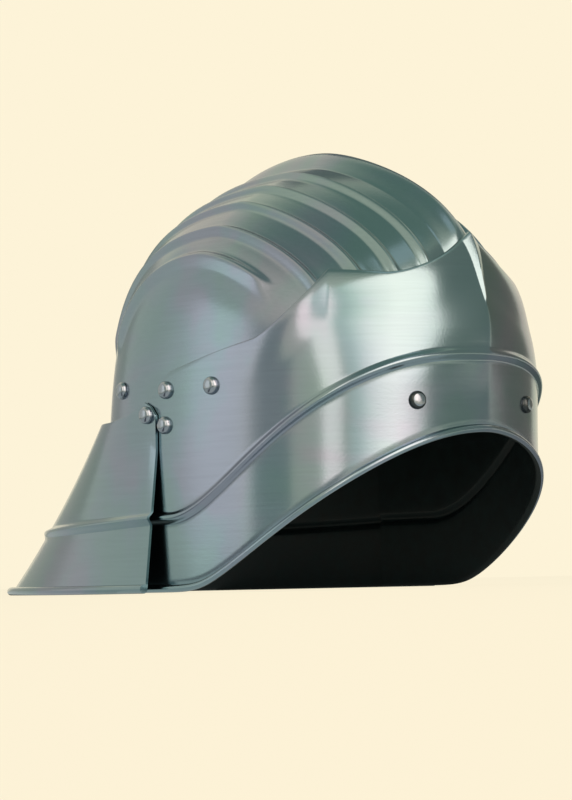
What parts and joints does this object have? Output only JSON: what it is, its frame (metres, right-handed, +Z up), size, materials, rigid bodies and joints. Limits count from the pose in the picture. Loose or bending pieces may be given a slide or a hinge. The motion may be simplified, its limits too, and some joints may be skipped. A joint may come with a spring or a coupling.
{
  "type": "sallet helmet",
  "caption": "Fluted steel sallet with a riveted brow plate, a pivoting pointed tail lame and a leather lining.",
  "frame": {"origin": "centre of the bounding box, at the height of the table that the rims rest on", "axes": "+X towards the wearer's left, -Y the way the face looks, +Y towards the tail, +Z up"},
  "size_m": [0.2242, 0.3945, 0.2404],
  "materials": {
    "plate_steel": "brushed and polished outside, blackened inside",
    "rivet_steel": "polished",
    "hide": "oiled"
  },
  "bodies": {
    "helmet": {"skull": "plate_steel", "brow_plate": "plate_steel", "pivot_rivets": "rivet_steel", "pivot_roves": "rivet_steel", "front_rivets": "rivet_steel", "front_roves": "rivet_steel", "side_rivets": "rivet_steel", "side_roves": "rivet_steel", "strap_rivets": "rivet_steel", "strap_roves": "rivet_steel", "rear_rivets": "rivet_steel", "rear_roves": "rivet_steel", "lining_band": "hide", "liner_tongues": "hide", "liner_crown": "hide"},
    "tail": {"tail_lame": "plate_steel"}
  },
  "joints": [
    {"name": "tail_pivot", "type": "hinge", "parent": "helmet", "child": "tail", "pos_m": [0, -0.04338, 0.0945], "axis": [1, 0, 0], "range_deg": [0, 18]}
  ]
}
